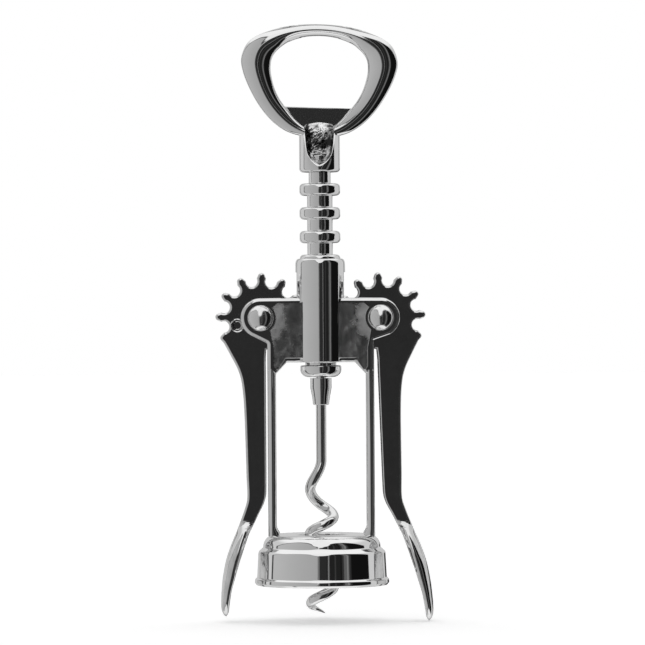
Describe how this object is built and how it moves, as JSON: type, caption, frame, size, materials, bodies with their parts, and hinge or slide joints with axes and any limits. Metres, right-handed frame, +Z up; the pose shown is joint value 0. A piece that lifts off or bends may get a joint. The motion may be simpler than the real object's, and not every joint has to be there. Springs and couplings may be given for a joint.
{
  "type": "lever corkscrew",
  "caption": "Lever corkscrew with geared wing arms, a ringed rack spindle, a right-hand worm, a bell for the bottle's neck and a crown-cap opener handle.",
  "frame": {"origin": "middle of the bell's mouth, in the plane of its rim, on the worm's axis", "axes": "+Z up along the worm's axis towards the handle, +X from the left lever to the right lever, the front with the rivets' domed heads faces -Y"},
  "size_m": [0.0627, 0.0386, 0.1728],
  "materials": {
    "cast_chrome": "chrome-plated zinc casting, polished edges and mottled flats",
    "bell_chrome": "bright polished chrome plate",
    "lever_chrome": "chrome plate over a lightly grained casting",
    "handle_chrome": "bright polished chrome plate",
    "rivet_chrome": "chrome plate, slightly satin",
    "worm_steel": "plated steel wire",
    "pin_steel": "satin",
    "liner_plastic": "moulded, satin"
  },
  "bodies": {
    "frame": {"frame_casting": "cast_chrome", "bell": "bell_chrome", "bell_liner": "liner_plastic", "left_pivot_rivet": "rivet_chrome", "right_pivot_rivet": "rivet_chrome", "left_rivet_cap": "rivet_chrome", "right_rivet_cap": "rivet_chrome"},
    "left_lever": {"left_lever": "lever_chrome"},
    "right_lever": {"right_lever": "lever_chrome"},
    "stop_collar": {"stop_collar": "handle_chrome"},
    "spindle": {"opener_handle": "handle_chrome", "rack_spindle": "handle_chrome", "handle_pin": "pin_steel", "worm_ferrule": "handle_chrome", "worm": "worm_steel"}
  },
  "joints": [
    {"name": "left_lever_pivot", "type": "hinge", "parent": "frame", "child": "left_lever", "pos_m": [-0.0174, 0, 0.0774], "axis": [0, 1, 0], "range_deg": [0, 150]},
    {"name": "right_lever_pivot", "type": "hinge", "parent": "frame", "child": "right_lever", "pos_m": [0.0174, 0, 0.0774], "axis": [0, -1, 0], "range_deg": [0, 150]},
    {"name": "rack_slide", "type": "slide", "parent": "frame", "child": "stop_collar", "axis": [0, 0, 1], "range_m": [-0.0345, 0]},
    {"name": "spindle_turn", "type": "hinge", "parent": "stop_collar", "child": "spindle", "pos_m": [0, 0, 0.0625], "axis": [0, 0, 1], "continuous": true}
  ],
  "couplings": [
    {"joint": "right_lever_pivot", "follows": "left_lever_pivot", "ratio": 1},
    {"joint": "rack_slide", "follows": "left_lever_pivot", "m_per_rad": -0.01312}
  ]
}
